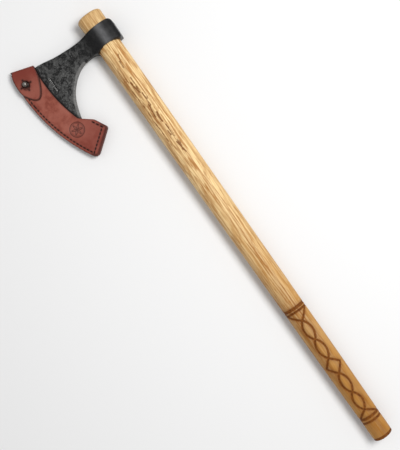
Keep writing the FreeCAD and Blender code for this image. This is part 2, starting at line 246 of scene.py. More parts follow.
def store(mesh, field, values):
    values = np.asarray(values, np.float32)
    kind = "FLOAT_VECTOR" if values.ndim == 2 else "FLOAT"
    attribute = mesh.attributes.new(field, kind, "POINT")
    attribute.data.foreach_set("vector" if values.ndim == 2 else "value", values.ravel())


# ---- materials

class Shade:
    """A material's node tree, with short calls for the nodes that these materials share."""

    def __init__(self, name):
        self.material = bpy.data.materials.new(name)
        self.material.use_nodes = True
        self.tree = self.material.node_tree
        self.shader = self.tree.nodes["Principled BSDF"]
        self.rest = self.add("ShaderNodeAttribute", attribute_name="rest_mm").outputs["Vector"]

    def add(self, kind, inputs=None, **settings):
        node = self.tree.nodes.new(kind)
        for key, value in settings.items():
            setattr(node, key, value)
        for key, value in (inputs or {}).items():
            if isinstance(value, bpy.types.NodeSocket):
                self.tree.links.new(value, node.inputs[key])
            else:
                node.inputs[key].default_value = value
        return node

    def field(self, name):
        return self.add("ShaderNodeAttribute", attribute_name=name).outputs["Fac"]

    def stretched(self, size):
        """The resting place divided by a grain size in millimetres for each axis."""
        scale = tuple(1 / s for s in size)
        return self.add("ShaderNodeMapping", {"Vector": self.rest, "Scale": scale}).outputs[0]

    def noise(self, size, detail=3.0, roughness=0.55, distortion=0.0):
        if not isinstance(size, tuple):
            size = (size,) * 3
        return self.add("ShaderNodeTexNoise", {
            "Vector": self.stretched(size), "Scale": 1.0, "Detail": detail,
            "Roughness": roughness, "Distortion": distortion}).outputs["Fac"]

    def cells(self, size, feature="F1"):
        return self.add("ShaderNodeTexVoronoi", {
            "Vector": self.stretched((size,) * 3), "Scale": 1.0},
            feature=feature).outputs["Distance"]

    def math(self, operation, a, b):
        return self.add("ShaderNodeMath", {0: a, 1: b}, operation=operation).outputs[0]

    def times(self, a, b):
        return self.math("MULTIPLY", a, b)

    def plus(self, a, b):
        return self.math("ADD", a, b)

    def minus(self, a, b):
        return self.math("SUBTRACT", a, b)

    def vector(self, operation, a, b):
        return self.add("ShaderNodeVectorMath", {0: a, 1: b}, operation=operation).outputs[0]

    def span(self, value, low, high, to_low=0.0, to_high=1.0):
        return self.add("ShaderNodeMapRange", {
            "Value": value, "From Min": low, "From Max": high, "To Min": to_low, "To Max": to_high},
            interpolation_type="SMOOTHSTEP").outputs["Result"]

    def mix(self, share, *colors):
        low, high = (color if isinstance(color, bpy.types.NodeSocket) else (*color, 1.0)
                     for color in colors)
        return self.add("ShaderNodeMix", {0: share, 6: low, 7: high}, data_type="RGBA").outputs[2]

    def paint(self, share, color, amount=None):
        """Lay a colour over the colour so far, where share is 1, and at most by amount."""
        if amount is not None:
            share = self.times(share, amount)
        self.color = self.mix(share, self.color, color)

    def height(self, value, distance, strength, below=None):
        inputs = {"Height": value, "Distance": distance * MM, "Strength": strength}
        if below is not None:
            inputs["Normal"] = below
        return self.add("ShaderNodeBump", inputs).outputs["Normal"]

    def finish(self, roughness, normal, **fixed):
        linked = {"Base Color": self.color, "Roughness": roughness, "Normal": normal}
        for key, value in linked.items():
            self.tree.links.new(value, self.shader.inputs[key])
        for key, value in fixed.items():
            self.shader.inputs[key.replace("_", " ")].default_value = value
        return self.material


def wood_material():
    s = Shade("hickory")
    wander = s.add("ShaderNodeTexNoise", {
        "Vector": s.stretched((170, 22, 22)), "Scale": 1.0, "Detail": 3.0}).outputs["Color"]
    wander = s.vector("MULTIPLY", wander, (0.0, 20.0, 20.0))
    bent = s.vector("ADD", s.vector("ADD", s.rest, (0.0, 38.0, 15.0)), wander)
    rings = s.add("ShaderNodeTexWave", {
        "Vector": bent, "Scale": 0.095, "Distortion": 1.1,
        "Detail": 3.0, "Detail Scale": 0.35}, wave_type="RINGS", rings_direction="X",
        wave_profile="SAW").outputs["Fac"]
    streak = s.noise((62, 2.5, 2.5), 5, 0.64, 0.25)
    blotch = s.noise((42, 7.5, 7.5), 4, 0.6, 0.5)
    broad = s.noise((210, 15, 15), 3)
    fibre = s.noise((24, 0.55, 0.55), 3, 0.65)
    pores = s.span(s.noise((9, 0.42, 0.42), 2, 0.5), 0.62, 0.74)
    along = s.add("ShaderNodeSeparateXYZ", {0: s.rest}).outputs
    butt = s.span(along["X"], 640, 60)
    s.color = s.mix(s.span(streak, 0.39, 0.55), (0.420, 0.190, 0.048), (0.94, 0.700, 0.360))
    s.paint(s.span(blotch, 0.52, 0.64, 0.0, 0.85), (0.44, 0.190, 0.044))
    s.paint(s.span(broad, 0.42, 0.66, 0.0, 0.50), (0.86, 0.60, 0.285))
    late = s.times(s.span(rings, 0.55, 1.0), s.span(blotch, 0.30, 0.62, 0.35, 1.0))
    s.paint(late, (0.340, 0.138, 0.034), 0.62)
    tan = s.mix(s.span(broad, 0.3, 0.7), (0.250, 0.086, 0.006), (0.44, 0.195, 0.024))
    s.paint(butt, tan, 0.88)
    stub = s.span(along["X"], 872, 900)
    s.paint(s.times(stub, s.span(blotch, 0.30, 0.62, 0.25, 0.75)), (0.48, 0.285, 0.115))
    heart = s.times(s.field("heart"), s.span(s.noise((26, 2.6, 2.6), 5, 0.62, 0.6), 0.44, 0.57))
    s.paint(heart, (0.270, 0.088, 0.014), 0.90)
    s.paint(s.span(fibre, 0.35, 0.75, 0.0, 0.38), (0.30, 0.14, 0.045))
    s.paint(pores, (0.17, 0.07, 0.022), 0.5)
    ragged = s.minus(s.noise((6, 1.5, 1.5), 4, 0.65), 0.5)
    crack = s.span(s.plus(s.field("crack"), s.times(ragged, 1.9)), 0.45, 0.80)
    s.paint(crack, (0.165, 0.046, 0.003), 0.86)
    scorch = s.times(s.field("scorch"), s.span(s.noise(6.0, 3), 0.25, 0.7, 0.45, 1.0))
    s.paint(scorch, (0.185, 0.064, 0.018), 0.68)
    ragged = s.times(s.minus(s.noise((2.4, 1.4, 1.4), 3, 0.6), 0.5), 0.34)
    burn = s.span(s.plus(s.field("burn"), ragged), 0.40, 0.64)
    char = s.mix(s.span(s.noise((4, 2, 2), 3), 0.3, 0.7),
                 (0.080, 0.017, 0.0008), (0.215, 0.066, 0.005))
    s.paint(burn, char, 0.94)
    roughness = s.span(s.plus(fibre, s.times(burn, 0.35)), 0.3, 1.0, 0.42, 0.72)
    normal = s.height(fibre, 0.16, 0.6)
    normal = s.height(s.plus(late, s.times(pores, 1.6)), -0.10, 0.7, normal)
    normal = s.height(s.plus(crack, burn), -0.25, 0.8, normal)
    return s.finish(roughness, normal, Specular_IOR_Level=0.14)


def steel_material():
    s = Shade("forge_scale")
    cloud = s.noise(26.0, 4, 0.6, 0.4)
    patch = s.noise(8.5, 5, 0.66, 0.7)
    mottle = s.noise(3.2, 5, 0.68, 0.6)
    grit = s.noise(0.75, 4, 0.7)
    flakes = s.cells(2.1)
    speck = s.noise(1.9, 3, 0.75, 0.4)
    s.color = s.mix(s.span(patch, 0.44, 0.58), (0.0040, 0.0040, 0.0042), (0.064, 0.064, 0.063))
    s.paint(s.span(cloud, 0.42, 0.66, 0.0, 0.50), (0.013, 0.013, 0.0132))
    haze = s.times(s.field("beard"), s.span(patch, 0.34, 0.60))
    s.paint(haze, (0.120, 0.120, 0.117), 0.42)
    s.paint(s.span(speck, 0.53, 0.66, 0.0, 0.58), (0.165, 0.165, 0.160))
    s.paint(s.span(speck, 0.47, 0.34, 0.0, 0.60), (0.005, 0.005, 0.005))
    fleck = s.times(s.span(grit, 0.58, 0.74), s.span(patch, 0.40, 0.60))
    s.paint(fleck, (0.20, 0.198, 0.19), 0.6)
    collar = s.field("collar")
    s.paint(collar, (0.0075, 0.0074, 0.0078), 0.90)
    # painted highlight: a lighter band along the collar's top, where the key light's reflection falls
    painted_highlight = s.times(s.field("crown"), s.span(patch, 0.30, 0.62, 0.70, 1.0))
    s.paint(painted_highlight, (0.150, 0.150, 0.154), 0.78)
    worn = s.times(s.field("worn"), s.span(s.noise(2.6, 4, 0.65), 0.30, 0.66, 0.25, 1.0))
    s.paint(worn, (0.215, 0.212, 0.205), 0.80)
    grind = s.noise((0.35, 5.0, 3.0), 3, 0.6)
    bright = s.mix(s.span(grind, 0.3, 0.7), (0.30, 0.295, 0.285), (0.52, 0.515, 0.50))
    ground = s.plus(s.field("ground"), s.times(s.minus(mottle, 0.5), 0.5))
    ground = s.span(ground, 0.40, 0.62)
    s.paint(ground, bright)
    # painted shadow along the sheath's mouth
    s.paint(s.field("mouth_shadow"), (0.004, 0.0035, 0.0035), 0.92)
    roughness = s.span(mottle, 0.3, 0.75, 0.44, 0.66)
    roughness = s.minus(roughness, s.times(ground, 0.16))
    roughness = s.minus(roughness, s.times(collar, 0.20))
    pits = s.times(s.span(flakes, 0.12, 0.5), s.span(ground, 0.0, 1.0, 1.0, 0.0))
    normal = s.height(mottle, 0.30, 0.55)
    normal = s.height(s.plus(grit, pits), 0.12, 0.5, normal)
    return s.finish(roughness, normal, Metallic=0.0, Specular_IOR_Level=0.17)


def leather_material():
    s = Shade("vegetable_tanned_leather")
    cloud = s.noise(34.0, 3, 0.5, 0.3)
    mottle = s.noise(7.5, 4, 0.62)
    fine = s.noise(1.1, 4, 0.7)
    pebble = s.cells(0.95, "F1")
    wrinkle = s.cells(2.7, "DISTANCE_TO_EDGE")
    s.color = s.mix(s.span(mottle, 0.32, 0.68), (0.190, 0.040, 0.024), (0.270, 0.072, 0.046))
    s.paint(s.span(cloud, 0.40, 0.60, 0.0, 0.80), (0.315, 0.098, 0.068))
    s.paint(s.span(fine, 0.50, 0.75, 0.0, 0.35), (0.130, 0.026, 0.015))
    deep = s.times(s.field("deep"), s.span(mottle, 0.25, 0.7, 0.55, 0.95))
    s.paint(deep, (0.150, 0.017, 0.010))
    # dark edges: edge dye on the cut edges, with painted shade along the strap's lifted edge
    burnish_and_shade = s.times(s.field("burnish_and_shade"), s.span(mottle, 0.2, 0.7, 0.7, 1.0))
    s.paint(burnish_and_shade, (0.036, 0.0085, 0.0055), 0.88)
    # darker where the leather is pressed (stitch grooves, stamp), and painted shade: in the grooves, along the
    # tongue's outline and round the stud
    s.paint(s.field("pressed_and_shade"), (0.024, 0.0040, 0.0022), 0.94)
    roughness = s.span(fine, 0.25, 0.8, 0.44, 0.66)
    roughness = s.minus(roughness, s.times(burnish_and_shade, 0.14))
    normal = s.height(s.span(pebble, 0.0, 0.6), 0.10, 0.45)
    normal = s.height(s.span(wrinkle, 0.0, 0.16), 0.06, 0.35, normal)
    normal = s.height(mottle, 0.25, 0.45, normal)
    return s.finish(roughness, normal, Specular_IOR_Level=0.26)


def thread_material():
    s = Shade("waxed_linen")
    fuzz = s.noise((0.5, 0.5, 0.5), 3, 0.7)
    s.color = s.mix(s.span(fuzz, 0.3, 0.7), (0.005, 0.0022, 0.0016), (0.018, 0.0075, 0.0050))
    s.paint(s.span(s.noise(5.0, 2), 0.45, 0.75, 0.0, 0.5), (0.026, 0.011, 0.007))
    return s.finish(s.span(fuzz, 0.2, 0.8, 0.60, 0.80), s.height(fuzz, 0.08, 0.6),
                    Specular_IOR_Level=0.12)


def stud_material():
    s = Shade("worn_nickel")
    tarnish = s.noise(2.6, 4, 0.6)
    scratch = s.noise((0.25, 1.6, 1.6), 3, 0.6)
    s.color = s.mix(s.span(tarnish, 0.42, 0.70), (0.27, 0.26, 0.24), (0.060, 0.050, 0.042))
    s.paint(s.span(scratch, 0.60, 0.80, 0.0, 0.5), (0.16, 0.13, 0.11))
    # painted shade on the stud's foot and the ball's underside, down in the strap's hole
    s.paint(s.field("foot"), (0.012, 0.010, 0.009), 0.92)
    return s.finish(s.span(tarnish, 0.3, 0.8, 0.34, 0.56), s.height(scratch, 0.03, 0.4),
                    Metallic=0.9)


wood = wood_material()
steel = steel_material()
leather = leather_material()
linen = thread_material()
nickel = stud_material()

# ---- haft

CROSSINGS = (253.9, 213.8, 173.4, 140.8, 100.3, 62.9)
DIAMOND_ABOVE = 140.8
RING_BANDS = ((279.6, 3.1), (272.8, 2.1), (46.4, 2.6), (38.4, 2.1))     # middle, half width
LENS_HALF = 8.5                 # half height of a lens, round the haft
DIAMOND_HALF = 16.0
FAN_HALF = 23.0                 # where the first and last strands meet the rings, round the haft
LINE_HALF = 2.1
ORNAMENT = (36.0, 287.0)
HEARTWOOD = (600.0, 826.0)
BUTT_ROUNDING = 2.5
TOP_ROUNDING = 5.5

EYE = (842.5, 889.5)            # where the head sits along the haft
AROUND = 136                    # points round the haft
HAFT_ENDS = 7.0                 # length at each end with closer stations

# Short dark checks in the heartwood, on the stud's side: x, y, x, y, width
CHECKS = (
    (824, -5.4, 808, -0.9, 1.5), (812, -0.4, 800, 0.6, 1.6), (778, 0.1, 752, 0.6, 1.2),
    (770, 5.6, 748, 2.1, 2.6), (744, -0.9, 718, -0.9, 1.5), (735, -5.4, 730, -1.4, 1.2),
    (722, 1.6, 700, 4.1, 1.6), (702, -1.9, 684, -1.4, 2.6), (708, 3.1, 696, 4.6, 2.0),
    (676, -2.9, 650, -3.4, 1.5), (664, 0.6, 655, 0.1, 1.6), (640, -4.9, 622, -3.4, 2.8),
    (640, -0.9, 615, -5.4, 1.5), (760, 12.6, 700, 10.1, 0.9), (690, 11.6, 640, 10.6, 0.8),
)


def strand(x):
    """How far round the haft the upper strand of the interlace stands from the middle line."""
    height = np.zeros_like(x)
    for high, low in zip(CROSSINGS, CROSSINGS[1:]):
        within = (x <= high) & (x > low)
        share = (x - low) / (high - low)
        lens = LENS_HALF * np.clip(np.sin(np.pi * share), 0, 1) ** 0.8
        peak = DIAMOND_HALF * (1 - np.abs(2 * share - 1))
        height = np.where(within, peak if low == DIAMOND_ABOVE else lens, height)
    top, bottom = CROSSINGS[0], CROSSINGS[-1]
    fan_top = FAN_HALF * (x - top) / (RING_BANDS[1][0] - top)
    fan_bottom = FAN_HALF * (bottom - x) / (bottom - RING_BANDS[2][0])
    height = np.where(x > top, fan_top, height)
    return np.where(x < bottom, fan_bottom, height)


def interlace(x, y, z, half):
    """Nearness to the burnt lines: 1 on a line's middle, 0.5 at its edge."""
    around = np.arctan2(y, np.abs(z) + 1e-9) * half
    step = 0.4
    slope = (strand(x + step) - strand(x - step)) / (2 * step)
    lean = np.sqrt(1 + np.minimum(slope ** 2, 6.0))
    gap = np.abs(np.abs(around) - strand(x)) / lean
    gap = np.where((x > RING_BANDS[1][0]) | (x < RING_BANDS[2][0]), 99.0, gap)
    for middle, half_width in RING_BANDS:
        gap = np.minimum(gap, np.abs(x - middle) * LINE_HALF / half_width)
    return np.clip(1 - gap / (2 * LINE_HALF), 0, 1), gap


def haft_stations(length):
    """Places along the haft, closer together at its ends, the ornament and the heartwood."""
    ends = HAFT_ENDS * (1 - np.cos(np.linspace(0, np.pi / 2, 12)))
    stations = np.unique(np.round(np.concatenate([
        ends,
        np.arange(HAFT_ENDS, ORNAMENT[0], 1.5),
        np.arange(*ORNAMENT, 0.75),
        np.arange(ORNAMENT[1], HEARTWOOD[0], 3.2),
        np.arange(*HEARTWOOD, 1.3),
        np.arange(HEARTWOOD[1], length - HAFT_ENDS, 2.0),
        length - ends,
    ]), 3))
    keep = [stations[0]]
    for x in stations[1:]:
        if x - keep[-1] > 0.03:
            keep.append(x)
    return np.array(keep)


def rounding(depth, radius):
    """How far a rounded edge falls away, at a depth of up to its radius past its start."""
    share = np.clip(depth / radius, 0, 1)
    return radius * (1 - np.sqrt(1 - share ** 2))


def build_haft():
    skin = to_axe(node_mesh("haft")[0])
    levels = np.unique(np.round(skin[:, 0], 1))
    length = levels[-1]
    levels = levels[(levels >= BUTT_ROUNDING - 0.1) & (levels <= length - TOP_ROUNDING + 0.1)]
    halves = [np.abs(skin[np.abs(skin[:, 0] - level) < 0.06, 1:]).max(0) for level in levels]
    stations = haft_stations(length)
    drop = (rounding(stations - length + TOP_ROUNDING, TOP_ROUNDING)
            + rounding(BUTT_ROUNDING - stations, BUTT_ROUNDING))
    half_y, half_z = (np.interp(stations, levels, half) - drop for half in np.transpose(halves))
    angles = np.linspace(0, 2 * np.pi, AROUND, endpoint=False)
    x = np.repeat(stations, AROUND)
    y = np.outer(half_y, np.sin(angles)).ravel()
    z = np.outer(half_z, np.cos(angles)).ravel()
    points = np.stack([x, y, z], 1)
    half = np.hypot(y, z)
    burn, gap = interlace(x, y, z, half)
    on_side = smoothstep(1.5, 4.0, x)
    burn = np.maximum(burn * on_side, 0.86 * smoothstep(8.0, 4.2, x))
    scorch = np.exp(-(gap / 4.5) ** 2) * smoothstep(30, 38, x) * smoothstep(292, 284, x)
    scorch = np.maximum(scorch, 0.75 * smoothstep(8.5, 0, x) * (half > 12))
    crack = np.zeros(len(points))
    for *ends, width in CHECKS:
        line = np.array(ends, float).reshape(2, 2)
        back_line = line * (-1, -0.8) + (1430, 8)       # the guessed checks on the back
        for path, depth, side in ((line, 1.0, z > 0), (back_line, 0.9, z < 0)):
            off = to_segments(points[:, :2], path, closed=False)
            crack = np.maximum(crack, depth * np.clip(1 - off / (1.7 * width), 0, 1) * side)
    middle = np.where(z > 0, 8.5 + 0.02 * (x - 700), 4.0)
    heart = np.exp(-((y - middle) / 7.0) ** 2) * smoothstep(590, 640, x) * smoothstep(836, 790, x)
    grain = ripple(points, (90, 9, 9), 3.1) * 0.20 + ripple(points, (26, 3.2, 3.2), 9.7) * 0.07
    free = 1 - smoothstep(EYE[0] - 6, EYE[0] - 1, x) * smoothstep(EYE[1] + 4, EYE[1] - 1, x)
    dip = (np.abs(grain) * free + 0.42 * smoothstep(0.42, 0.75, burn) * on_side
           + 0.35 * smoothstep(0.3, 0.8, crack) + 0.10 * (1 - free))
    points[:, 1:] *= (1 - dip / np.maximum(half, 6))[:, None]
    rings = np.arange(len(points)).reshape(-1, AROUND)
    faces = tube(rings)
    # the end faces: rings of points towards the middle, with the saw's slight unevenness
    extra, count = [], len(points)
    for previous, side in ((rings[0], -1), (rings[-1], 1)):
        rim = points[previous]
        for share in (0.93, 0.84, 0.73, 0.6, 0.46, 0.32, 0.18):
            inner = rim * (1.0, share, share)
            inner[:, 0] -= side * (0.10 + 0.12 * ripple(inner, (4, 5, 5), 5.0))
            extra.append(inner)
            current = np.arange(count, count + AROUND)
            count += AROUND
            faces += tube([previous, current])
            previous = current
        extra.append(rim.mean(0, keepdims=True))
        faces += zip(previous, np.roll(previous, -1), [count] * AROUND)
        count += 1
    added = np.concatenate(extra)
    edge_burn = 0.75 * smoothstep(11, 19, np.hypot(added[:, 1], added[:, 2])) * (added[:, 0] < 5)
    points = np.concatenate([points, added])
    fields = {name: np.pad(values, (0, len(added)))
              for name, values in (("burn", burn), ("crack", crack), ("heart", heart))}
    fields["scorch"] = np.concatenate([scorch, edge_burn])
    piece = make_piece("haft_stick", points, faces, wood, fields, 50)
    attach(piece, "haft")
    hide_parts("haft")


build_haft()

# ---- head

EDGE_CENTRE = np.array([864.3, -137.9])
EDGE_RADIUS = 306.1
BEVEL = 15.0
STRAIGHT_TO = 100.0             # stations across the head stay straight this far out
PUNCHES = tuple((865.6 - 3.1 * step, 122.4) for step in range(9))
EYE_RIM = (25.6, 21.6)          # half widths just outside the eye's flared rim
EYE_WALL = (25.5, 21.5)         # the surface inside these half widths isn't hammered
COLLAR_MIDDLE = 868.0
FAR_OUT = 60.0                  # rays towards the faces start this far out
ROOT_HALF = 11.5                # the head's half thickness where a ray finds nothing
SKINS, WALLS = 104, 16          # points across a face, and down a side
RAY_IN = 0.985                  # rays at a side's edge start a little inside it
PATH_STEPS = 400
ACROSS = np.linspace(0, 1, SKINS)[:, None]


def fill_gaps(values):
    """Give the missing values of a row what lies between their neighbours."""
    good = ~np.isnan(values)
    at = np.arange(len(values))
    values[:] = np.interp(at, at[good], values[good])


def resample(path, count):
    lengths = np.concatenate([[0], np.cumsum(np.linalg.norm(np.diff(path, axis=0), axis=1))])
    at = np.linspace(0, lengths[-1], count)
    return np.stack([np.interp(at, lengths, path[:, 0]), np.interp(at, lengths, path[:, 1])], 1)


def close_loop(face, high, low):
    """One loop round the head, from a face's points and those down its two sides."""
    other = face[::-1] * (1, 1, -1)
    return np.concatenate([face, low[1:-1], other, high[::-1][1:-1]])


def straight_loops(hit_z, hit_x, poll_y):
    """The loops from the poll to the blade's root, and the two sides of the last one."""
    loops = []
    for y in np.concatenate([
            [poll_y + 0.02, poll_y + 0.35, poll_y + 0.8, poll_y + 1.3],
            np.arange(poll_y + 2.0, STRAIGHT_TO - 0.3, 1.35), [STRAIGHT_TO]]):
        ray_y = min(y, STRAIGHT_TO - 0.01)
        heights = (hit_z(COLLAR_MIDDLE, ray_y) or ROOT_HALF) * np.cos(np.linspace(0, np.pi, WALLS))
        in_eye = (ray_y / EYE_RIM[0]) ** 2 + (heights * RAY_IN / EYE_RIM[1]) ** 2 < 1
        sides = []
        for start, run in ((1000.0, -1), (600.0, 1)):
            side = np.array([(hit_x(ray_y, z * RAY_IN, start, run), y, z) for z in heights])
            side[in_eye, 0] = np.nan
            fill_gaps(side[:, 0])
            sides.append(side)
        high, low = sides
        face = np.linspace(high[0], low[0], SKINS)
        ease = min(0.9, (face[0, 0] - face[-1, 0]) * 0.1)    # how far the faces' edges are rounded
        face[[0, -1], 0] += (-ease, ease)
        face[:, 2] = [hit_z(x, ray_y) or high[0][2] for x in face[:, 0]]
        loops.append(close_loop(face, high, low))
    return loops, [side[WALLS // 2, :2] for side in sides]


def bowed_loops(hit_z, corners, blade):
    """The loops past the straight ones: from top edge to beard, bowing into the cutting edge."""
    past = blade[:, 1] > STRAIGHT_TO
    start = int(np.argmax(past & ~np.roll(past, 1)))
    outer = np.roll(blade, -start, 0)[:int(past.sum())]
    if outer[0][0] < outer[-1][0]:
        outer = outer[::-1]
    on_edge = np.where(from_point(outer, EDGE_CENTRE) > EDGE_RADIUS - 0.25)[0]
    base = np.linspace(*corners, SKINS)
    rim = resample(outer[on_edge[0]:on_edge[-1] + 1], SKINS)
    top_path = resample(np.vstack([corners[:1], outer[:on_edge[0] + 1]]), PATH_STEPS + 1)
    low_path = resample(np.vstack([outer[on_edge[-1]:], corners[1:]])[::-1], PATH_STEPS + 1)
    loops = []
    for share in np.unique(np.round(np.concatenate([
            np.linspace(0, 0.80, 38), np.linspace(0.80, 0.985, 18), [0.993, 1.0]]), 5))[1:]:
        step = int(round(share * PATH_STEPS))
        row = (1 - share) * base + share * rim
        row = row + (1 - ACROSS) * (top_path[step] - row[0]) + ACROSS * (low_path[step] - row[-1])
        inner = row + (row[SKINS // 2] - row) * 0.004
        if share > 0.999:
            inner = np.array([place + unit(EDGE_CENTRE - place) * 0.15 for place in inner])
        face = np.column_stack([row, [hit_z(*place) or np.nan for place in inner]])
        fill_gaps(face[:, 2])
        walls = []
        for end, inner in ((0, 1), (-1, -2)):
            wall = np.tile(face[end], (WALLS, 1))
            wall[:, 2] *= np.cos(np.linspace(0, np.pi, WALLS))
            walls.append(wall)
            face[end, :2] += unit(face[inner, :2] - face[end, :2]) * min(0.5, 0.4 * face[end, 2])
        loops.append(close_loop(face, *walls))
    return loops


def head_shell(grid):
    """The closed shell through the loops, with a flat poll and a narrow cutting edge."""
    # ease the corners between faces and sides, in the loops' own direction
    for _ in range(2):
        eased = 0.25 * np.roll(grid, 1, 1) + 0.5 * grid + 0.25 * np.roll(grid, -1, 1)
        grid[:-3] += (eased - grid)[:-3]
    points = grid.reshape(-1, 3)
    rings = np.arange(len(points)).reshape(len(grid), -1)
    faces = tube(rings)

    def strip(upper, lower):
        return list(zip(upper, upper[1:], lower[1:], lower))

    # the poll's flat face: rows of points between its two long sides
    first, last = rings[0], rings[-1]
    low_corner, high_corner = SKINS + WALLS - 2, 2 * SKINS + WALLS - 2     # on the other face
    rows = [first[:SKINS]]
    added = []
    total = len(points)
    for step in range(1, WALLS - 1):
        low_i, high_i = SKINS + step - 1, high_corner + WALLS - 2 - step
        added.append(points[high_i] + (points[low_i] - points[high_i]) * ACROSS[1:-1])
        rows.append([high_i, *range(total, total + SKINS - 2), low_i])
        total += SKINS - 2
    rows.append(first[low_corner:high_corner][::-1])
    for upper, lower in zip(rows, rows[1:]):
        faces += strip(upper, lower)
    # the cutting edge's narrow closing strip
    faces += strip(last[:SKINS], last[low_corner:high_corner][::-1])
    faces += [last[SKINS - 1:low_corner + 1], (*last[high_corner - 1:], last[0])]
    mesh = new_mesh("forging", np.concatenate([points] + added), faces)
    even_normals(mesh, 0.0005)
    return add_object("forging", mesh)


def cut_eye(forging, cutter):
    """The forging's mesh with the eye cut to the haft's taper."""
    cut = forging.modifiers.new("eye", "BOOLEAN")
    cut.object = cutter
    cut.solver = "EXACT"
    bpy.context.view_layer.update()
    graph = bpy.context.evaluated_depsgraph_get()
    result = bpy.data.meshes.new_from_object(forging.evaluated_get(graph))
    bpy.data.objects.remove(forging)
    bpy.data.objects.remove(cutter)
    return result


def build_head():
    raw, triangles = node_mesh("axe_head")
    skin = to_axe(raw)
    tree = bvhtree.BVHTree.FromPolygons(skin.tolist(), triangles.tolist())
    blade = outlines("axe_head", 0.0)[0]

    def hit_z(x, y):
        found = tree.ray_cast(Vector((x, y, FAR_OUT)), Vector((0, 0, -1)))[0]
        return None if found is None else found.z

    def hit_x(y, z, start, run):
        found = tree.ray_cast(Vector((start, y, z)), Vector((run, 0, 0)))[0]
        return np.nan if found is None else found.x

    loops, corners = straight_loops(hit_z, hit_x, skin[:, 1].min())
    loops += bowed_loops(hit_z, corners, blade)
    result = cut_eye(head_shell(np.array(loops)), eye_cutter(tree))
    points = np.array([v.co for v in result.vertices], float)
    faces = [p.vertices for p in result.polygons]
    normals = np.array([v.normal for v in result.vertices], float)
    x, y, z = points.T
    flat = points[:, :2]
    out = EDGE_RADIUS - from_point(flat, EDGE_CENTRE)       # how far in from the cutting edge
    in_eye = (y / EYE_WALL[0]) ** 2 + (z / EYE_WALL[1]) ** 2 < 1
    ground = smoothstep(BEVEL + 1.3, BEVEL - 1.3, out)
    punch = np.zeros(len(points))
    for px, py in PUNCHES:
        diamond = np.abs(x - px) / 1.25 + np.abs(y - py) / 1.7
        punch = np.maximum(punch, smoothstep(1.15, 0.75, diamond) * (z > 0))
    beard = np.array([p for p in blade if p[0] < 848 and 26 < p[1] < 121])
    off_beard = to_segments(flat, beard[np.argsort(-beard[:, 0])], closed=False)
    mouth = outlines("sheath_front", 3.9)[0]
    off_mouth = np.where(inside(flat, mouth), -1.0, 1.0) * to_segments(flat, mouth)
    # painted shadow on the steel along the sheath's mouth line, where the leather's thick edge shades it
    mouth_shadow = smoothstep(3.8, 1.6, off_mouth) * smoothstep(-6.0, -1.0, off_mouth)
    worn = smoothstep(5.6, 3.4, off_beard) * smoothstep(22, 46, y) * smoothstep(124, 116, y)
    near_beard = smoothstep(34, 5, off_beard) * smoothstep(34, 62, y)
    collar = np.clip(0.45 * smoothstep(84, 46, y) + 0.55 * smoothstep(40, 22, y), 0, 1)
    # where the painted highlight goes: a band along the collar's top on each face
    crown = np.exp(-((y + 4.5) / 7.5) ** 2) * (z > 0) + np.exp(-((y + 2.0) / 9.0) ** 2) * (z < 0)
    forged = ripple(points, (11,) * 3, 1.7) * 0.22 + ripple(points, (4.5,) * 3, 6.1) * 0.09
    calm = smoothstep(0.0, 6.0, out) * ~in_eye * (1 - 0.75 * ground) * (1 - 0.6 * collar)
    points = points + normals * ((forged - 0.12) * calm - 0.28 * punch)[:, None]
    fields = {"ground": np.clip(ground + 0.9 * punch, 0, 1), "worn": worn, "beard": near_beard,
              "mouth_shadow": mouth_shadow, "collar": collar, "crown": crown}
    piece = make_piece("head_forging", points, faces, steel, fields, 38)
    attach(piece, "head")
    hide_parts("axe_head")


def eye_cutter(tree):
    """A cutter with the eye's taper, measured on the CAD head, and its flared upper rim."""
    middles = (852.0, 886.0)
    halves = []
    for x in middles:
        y = tree.ray_cast(Vector((x, 0, 0)), Vector((0, 1, 0)))[0].y
        z = tree.ray_cast(Vector((x, 0, 0)), Vector((0, 0, 1)))[0].z
        halves.append((y, z))
    halves = np.array(halves)
    slope = (halves[1] - halves[0]) / (middles[1] - middles[0])
    sides = 144
    angles = np.linspace(0, 2 * np.pi, sides, endpoint=False)
    points = []
    for x, flare in ((820.0, 0.0), (842.0, 0.0), (860.0, 0.0), (875.0, 0.0), (886.6, 0.0),
                     (887.6, 0.35), (888.4, 1.3), (905.0, 1.3)):
        half = halves[0] + slope * (x - middles[0]) + flare
        points += zip([x] * sides, half[0] * np.sin(angles), half[1] * np.cos(angles))
    rings = np.arange(len(points)).reshape(-1, sides)
    faces = tube(rings) + [rings[0][::-1], rings[-1]]
    return add_object("eye", new_mesh("eye", np.array(points), faces))


build_head()

# ---- leather sheets

LEATHER = 2.8
HALF = LEATHER / 2
FRONT_Z, BACK_Z, TONGUE_Z = 3.9, -3.9, 7.0
TOE_A = np.array([901.4, 131.4])
TOE_B = np.array([915.4, 173.8])
TOE_RUN = unit(TOE_B - TOE_A)
TOE_LENGTH = float(np.linalg.norm(TOE_B - TOE_A))
TOE_IN = np.array([-TOE_RUN[1], TOE_RUN[0]])
BEND = 5.5                      # outside radius of the two bends at the toe
BEND_MIDDLE = BEND - HALF
FOLD_MIDDLE_Z = (BACK_Z + TONGUE_Z) / 2
QUARTER = BEND_MIDDLE * math.pi / 2
WALL = FOLD_MIDDLE_Z - (BACK_Z - HALF + BEND)
STAMP = np.array([762.0, 133.6])
STAMP_RADIUS = 13.6
GROOVE_HALF = 1.25
GROOVE_DEPTH = 0.55
HOLE_MARK = 0.95                # radius of the dimple at a stitch hole
NEAR_STITCH = 1.7               # the mesh is finer this near to a stitch
WELT_HALF = 2.49
HEEL_LINE = np.array([[734.1, 84.7], [697.6, 132.7]])


def toe_place(flat):
    """A flat place as (along the toe line, inwards from it)."""
    gap = flat - TOE_A
    return gap @ TOE_RUN, gap @ TOE_IN


def flat_place(along, inwards):
    return TOE_A + np.outer(along, TOE_RUN) + np.outer(inwards, TOE_IN)


def level(z, outward):
    def place(flat, height):
        return np.column_stack([flat, z + outward * height])
    return place


